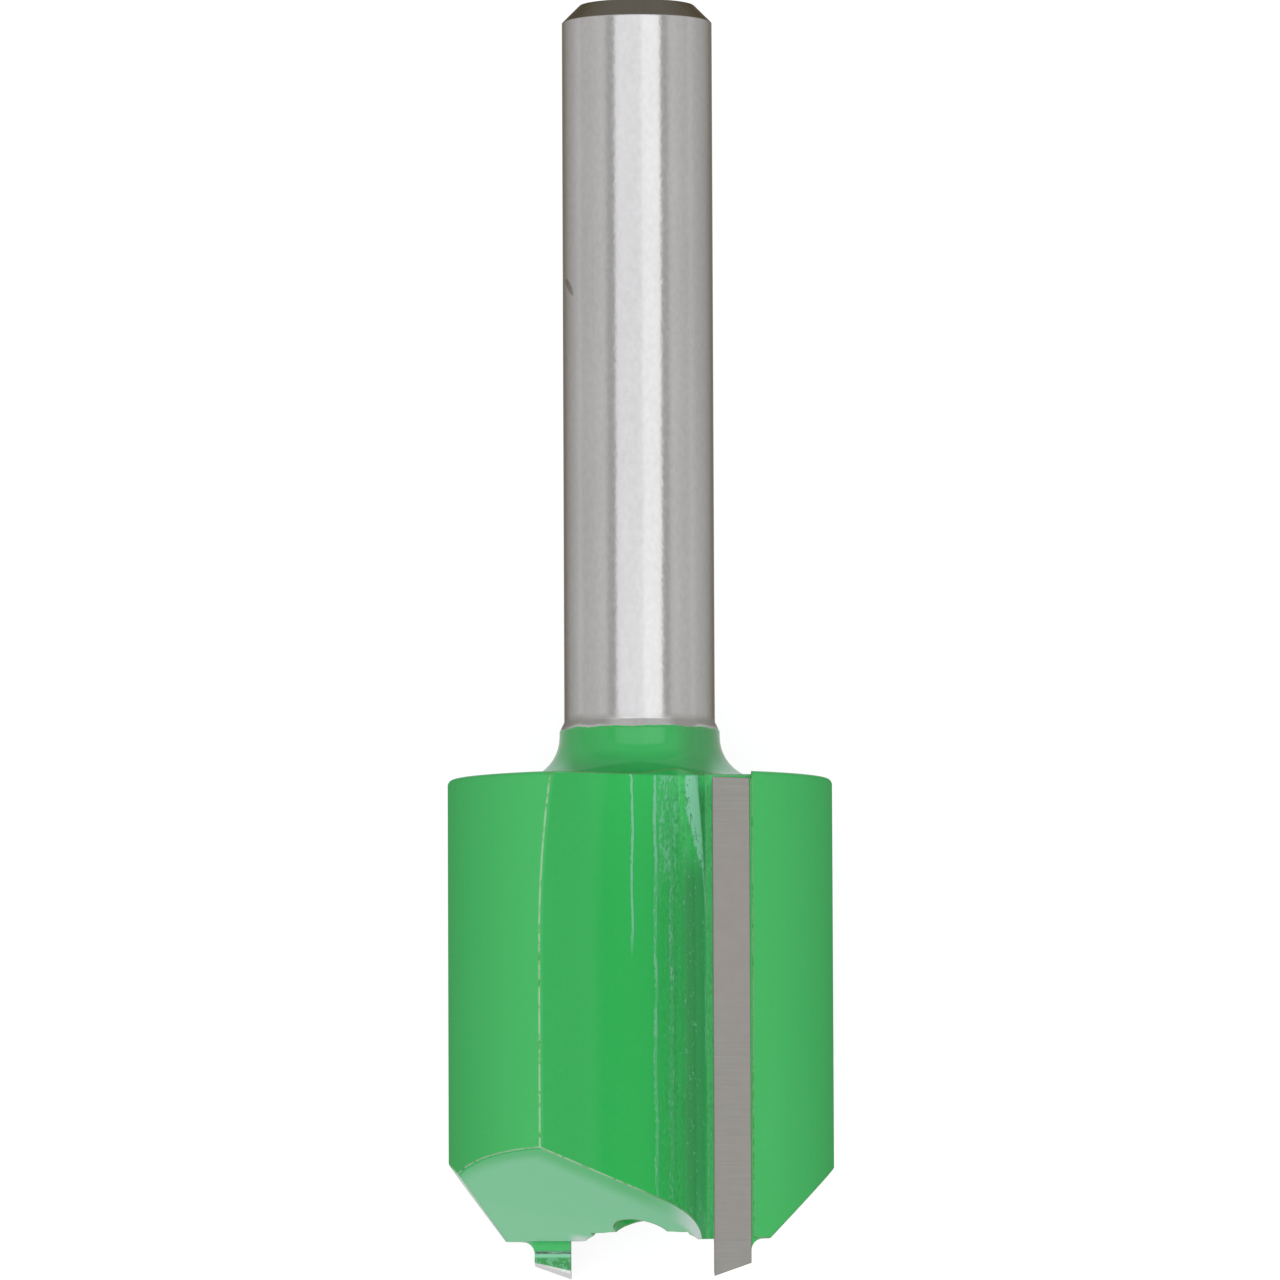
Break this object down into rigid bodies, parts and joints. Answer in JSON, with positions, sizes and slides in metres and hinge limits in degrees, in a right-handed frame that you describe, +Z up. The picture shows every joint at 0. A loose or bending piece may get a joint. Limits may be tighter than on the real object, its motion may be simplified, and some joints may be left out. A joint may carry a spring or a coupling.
{
  "type": "router bit",
  "caption": "Straight router bit with brazed end-cutting carbide tips on a coated milled head and a plain ground collet shank.",
  "frame": {"origin": "on the bit's axis, halfway along the ground cylinder of the shank", "axes": "+Y along the axis from the cutting end to the shank's end, +Z up with the bit lying at rest on one cutting edge and the heel beside it"},
  "size_m": [0.0152, 0.0508, 0.0142],
  "materials": {
    "coated_steel": "gloss green coating on the head, bare ground steel on the shank",
    "carbide": "fine ground, warm grey",
    "coated_braze": "silver solder under the green coating"
  },
  "bodies": {
    "root": {"cutter_body": "coated_steel", "carbide_tip_1": "carbide", "carbide_tip_2": "carbide", "braze_seam_1": "coated_braze", "braze_seam_2": "coated_braze"}
  },
  "joints": []
}
